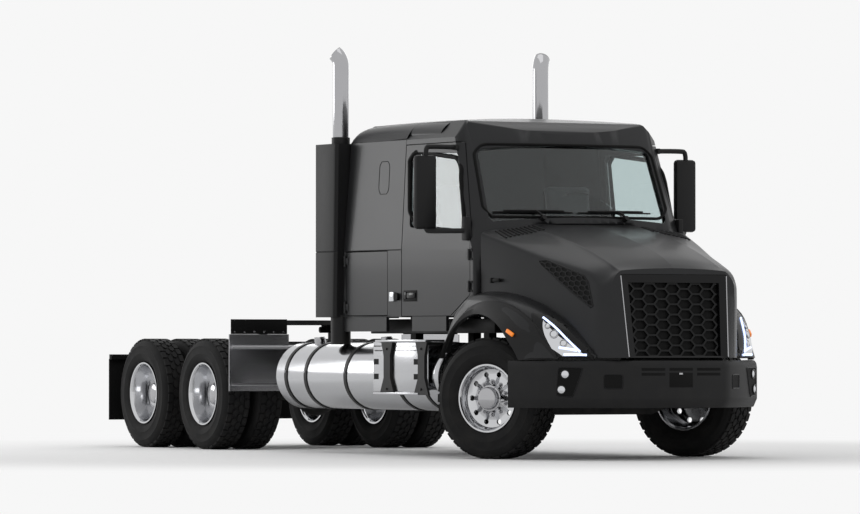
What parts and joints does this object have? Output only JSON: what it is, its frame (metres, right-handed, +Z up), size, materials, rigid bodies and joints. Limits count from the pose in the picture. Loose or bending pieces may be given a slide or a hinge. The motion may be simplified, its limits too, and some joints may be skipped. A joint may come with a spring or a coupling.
{
  "type": "semi truck tractor unit",
  "caption": "Conventional three-axle tractor with short flat-roof sleeper, tilting hood, steered front wheels, twin drive wheels and a rocking fifth wheel plate.",
  "frame": {"origin": "on the ground under the middle of the whole vehicle", "axes": "+X ahead, +Y to the driver's left, +Z up"},
  "size_m": [8.78, 2.906, 3.7314],
  "materials": {
    "paint": "satin",
    "frame_black": "satin",
    "plastic": "matte",
    "chrome": "polished",
    "polished": "polished",
    "stainless": "brushed",
    "tyre": "matte",
    "rim": "polished",
    "iron": "rough",
    "glass": "clear",
    "fabric": "woven",
    "lamp": "clear",
    "rubber": "matte"
  },
  "bodies": {
    "chassis": {"frame": "frame_black", "front_bumper": "plastic", "front_axle": "iron", "suspension": "iron", "drive_axles": "iron", "engine_block": "iron", "radiator": "plastic", "fuel_tanks": "polished", "tank_straps": "frame_black", "cab_steps": "polished", "fifth_wheel_base": "iron", "quarter_fenders": "stainless", "mud_flaps": "rubber", "rear_crossbar": "frame_black", "exhaust_stacks": "chrome", "stack_shields": "plastic", "cab_shell": "paint", "sleeper_shell": "paint", "windshield": "glass", "dashboard": "plastic", "steering_wheel": "plastic", "seats": "fabric", "wipers": "plastic", "cab_mounts": "rubber", "cab_skirts": "paint"},
    "hood": {"hood": "paint", "grille": "plastic", "headlamps": "lamp", "fender_flares": "plastic"},
    "fifth_wheel_plate": {"fifth_wheel_plate": "iron"},
    "knuckle_left": {"knuckle_left": "iron"},
    "front_wheel_left": {"front_tyre_left": "tyre", "front_rim_left": "rim"},
    "mid_wheels_left": {"mid_tyres_left": "tyre", "mid_rims_left": "rim"},
    "rear_wheels_left": {"rear_tyres_left": "tyre", "rear_rims_left": "rim"},
    "door_left": {"door_left": "paint", "door_glass_left": "glass", "mirror_left": "plastic"},
    "luggage_door_left": {"luggage_door_left": "paint"},
    "knuckle_right": {"knuckle_right": "iron"},
    "front_wheel_right": {"front_tyre_right": "tyre", "front_rim_right": "rim"},
    "mid_wheels_right": {"mid_tyres_right": "tyre", "mid_rims_right": "rim"},
    "rear_wheels_right": {"rear_tyres_right": "tyre", "rear_rims_right": "rim"},
    "door_right": {"door_right": "paint", "door_glass_right": "glass", "mirror_right": "plastic"},
    "luggage_door_right": {"luggage_door_right": "paint"}
  },
  "joints": [
    {"name": "steer_left", "type": "hinge", "parent": "chassis", "child": "knuckle_left", "pos_m": [2.955, 0.925, 0.53], "axis": [0, 0, 1], "range_deg": [-66, 14]},
    {"name": "steer_right", "type": "hinge", "parent": "chassis", "child": "knuckle_right", "pos_m": [2.955, -0.925, 0.53], "axis": [0, 0, 1], "range_deg": [-66, 14]},
    {"name": "front_spin_left", "type": "hinge", "parent": "knuckle_left", "child": "front_wheel_left", "pos_m": [2.9002, 1.0373, 0.53], "axis": [-0.4384, 0.8988, 0], "continuous": true},
    {"name": "mid_spin_left", "type": "hinge", "parent": "chassis", "child": "mid_wheels_left", "pos_m": [-2.35, 0.928, 0.53], "axis": [0, 1, 0], "continuous": true},
    {"name": "rear_spin_left", "type": "hinge", "parent": "chassis", "child": "rear_wheels_left", "pos_m": [-3.64, 0.928, 0.53], "axis": [0, 1, 0], "continuous": true},
    {"name": "door_swing_left", "type": "hinge", "parent": "chassis", "child": "door_left", "pos_m": [2.609, 1.097, 1.6], "axis": [0, 0, -1], "range_deg": [0, 70]},
    {"name": "luggage_swing_left", "type": "hinge", "parent": "chassis", "child": "luggage_door_left", "pos_m": [0.296, 1.097, 1.55], "axis": [0, 0, 1], "range_deg": [0, 95]},
    {"name": "front_spin_right", "type": "hinge", "parent": "knuckle_right", "child": "front_wheel_right", "pos_m": [3.0098, -1.0373, 0.53], "axis": [-0.4384, 0.8988, 0], "continuous": true},
    {"name": "mid_spin_right", "type": "hinge", "parent": "chassis", "child": "mid_wheels_right", "pos_m": [-2.35, -0.928, 0.53], "axis": [0, 1, 0], "continuous": true},
    {"name": "rear_spin_right", "type": "hinge", "parent": "chassis", "child": "rear_wheels_right", "pos_m": [-3.64, -0.928, 0.53], "axis": [0, 1, 0], "continuous": true},
    {"name": "door_swing_right", "type": "hinge", "parent": "chassis", "child": "door_right", "pos_m": [2.609, -1.097, 1.6], "axis": [0, 0, 1], "range_deg": [0, 70]},
    {"name": "luggage_swing_right", "type": "hinge", "parent": "chassis", "child": "luggage_door_right", "pos_m": [0.296, -1.097, 1.55], "axis": [0, 0, -1], "range_deg": [0, 95]},
    {"name": "hood_tilt", "type": "hinge", "parent": "chassis", "child": "hood", "pos_m": [4.361, 0, 0.85], "axis": [0, 1, 0], "range_deg": [0, 60]},
    {"name": "fifth_wheel_rock", "type": "hinge", "parent": "chassis", "child": "fifth_wheel_plate", "pos_m": [-2.735, 0, 1.145], "axis": [0, 1, 0], "range_deg": [-15, 15]}
  ],
  "couplings": [
    {"joint": "steer_right", "follows": "steer_left", "ratio": 1}
  ]
}
